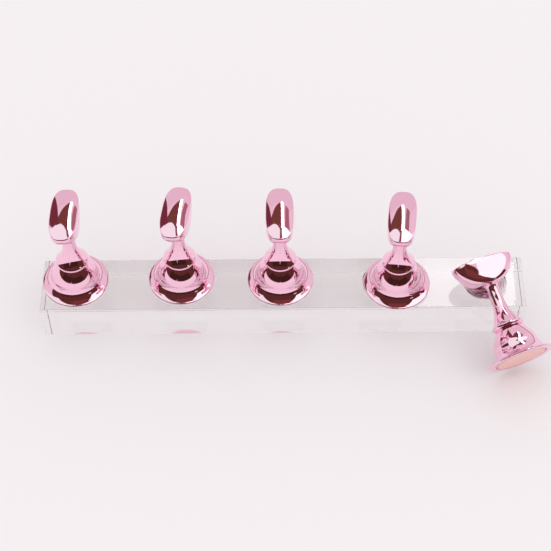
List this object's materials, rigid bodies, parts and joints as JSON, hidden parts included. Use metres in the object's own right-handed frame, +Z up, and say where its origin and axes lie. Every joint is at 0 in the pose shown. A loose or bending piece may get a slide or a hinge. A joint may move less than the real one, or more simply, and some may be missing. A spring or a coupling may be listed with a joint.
{
  "type": "magnetic nail practice stand",
  "caption": "Clear acrylic bar with pink plated magnetic nail holders standing on its seats and one leaning on its edge; each has a long arched head for a nail tip.",
  "frame": {"origin": "centre of the clear bar's underside", "axes": "+X along the bar, to the right seen from the front; +Y to the back; +Z up through the standing holders"},
  "size_m": [0.1569, 0.0433, 0.0474],
  "materials": {
    "clear_acrylic": "polished",
    "seat_steel": "satin",
    "pink_plating": "polished",
    "magnet": "satin",
    "cover_disc": "matte"
  },
  "bodies": {
    "bar": {"acrylic_bar": "clear_acrylic", "seat_disc_1": "seat_steel", "seat_disc_2": "seat_steel", "seat_disc_3": "seat_steel", "seat_disc_4": "seat_steel", "seat_disc_5": "seat_steel"},
    "holder_1_foot": {"base_magnet_1": "magnet", "base_pad_1": "cover_disc"},
    "holder_1": {"holder_body_1": "pink_plating"},
    "holder_2_foot": {"base_magnet_2": "magnet", "base_pad_2": "cover_disc"},
    "holder_2": {"holder_body_2": "pink_plating"},
    "holder_3_foot": {"base_magnet_3": "magnet", "base_pad_3": "cover_disc"},
    "holder_3": {"holder_body_3": "pink_plating"},
    "holder_4_foot": {"base_magnet_4": "magnet", "base_pad_4": "cover_disc"},
    "holder_4": {"holder_body_4": "pink_plating"},
    "leaning_holder": {"holder_body_5": "pink_plating", "base_magnet_5": "magnet", "base_pad_5": "cover_disc"}
  },
  "joints": [
    {"name": "holder_1_lift", "type": "slide", "parent": "bar", "child": "holder_1_foot", "axis": [0, 0, 1], "range_m": [0, 0.03]},
    {"name": "holder_1_turn", "type": "hinge", "parent": "holder_1_foot", "child": "holder_1", "pos_m": [-0.0645, 0.0013, 0.0139], "axis": [0, 0, 1], "continuous": true},
    {"name": "holder_2_lift", "type": "slide", "parent": "bar", "child": "holder_2_foot", "axis": [0, 0, 1], "range_m": [0, 0.03]},
    {"name": "holder_2_turn", "type": "hinge", "parent": "holder_2_foot", "child": "holder_2", "pos_m": [-0.0315, 0.0019, 0.0139], "axis": [0, 0, 1], "continuous": true},
    {"name": "holder_3_lift", "type": "slide", "parent": "bar", "child": "holder_3_foot", "axis": [0, 0, 1], "range_m": [0, 0.03]},
    {"name": "holder_3_turn", "type": "hinge", "parent": "holder_3_foot", "child": "holder_3", "pos_m": [-0.0007, 0.0011, 0.0139], "axis": [0, 0, 1], "continuous": true},
    {"name": "holder_4_lift", "type": "slide", "parent": "bar", "child": "holder_4_foot", "axis": [0, 0, 1], "range_m": [0, 0.03]},
    {"name": "holder_4_turn", "type": "hinge", "parent": "holder_4_foot", "child": "holder_4", "pos_m": [0.0354, -0.0006, 0.0139], "axis": [0, 0, 1], "continuous": true},
    {"name": "leaning_holder_lift", "type": "slide", "parent": "bar", "child": "leaning_holder", "axis": [0, 0, 1], "range_m": [0, 0.03]}
  ]
}
